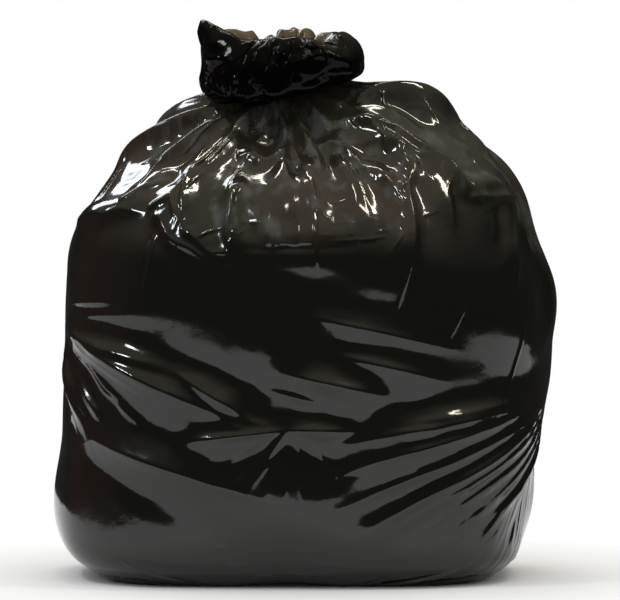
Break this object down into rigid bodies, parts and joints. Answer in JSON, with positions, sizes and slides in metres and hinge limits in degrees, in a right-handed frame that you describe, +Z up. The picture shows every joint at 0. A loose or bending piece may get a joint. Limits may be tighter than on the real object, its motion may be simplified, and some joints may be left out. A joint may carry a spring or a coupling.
{
  "type": "filled bin bag",
  "caption": "Full black refuse sack standing on a flat foot, with its neck gathered into pleats and its mouth puffed out in a ruff.",
  "frame": {"origin": "on the floor, under the middle of the bag's bounding box", "axes": "+Z up through the gathered neck, -Y towards the front that the picture shows, +X to the picture's right along the bag's width"},
  "size_m": [0.5108, 0.3916, 0.5663],
  "materials": {
    "black_film": "glossy thin polythene film, creased and slightly translucent where it stands off the contents"
  },
  "bodies": {
    "root": {"filled_bag": "black_film"}
  },
  "joints": []
}
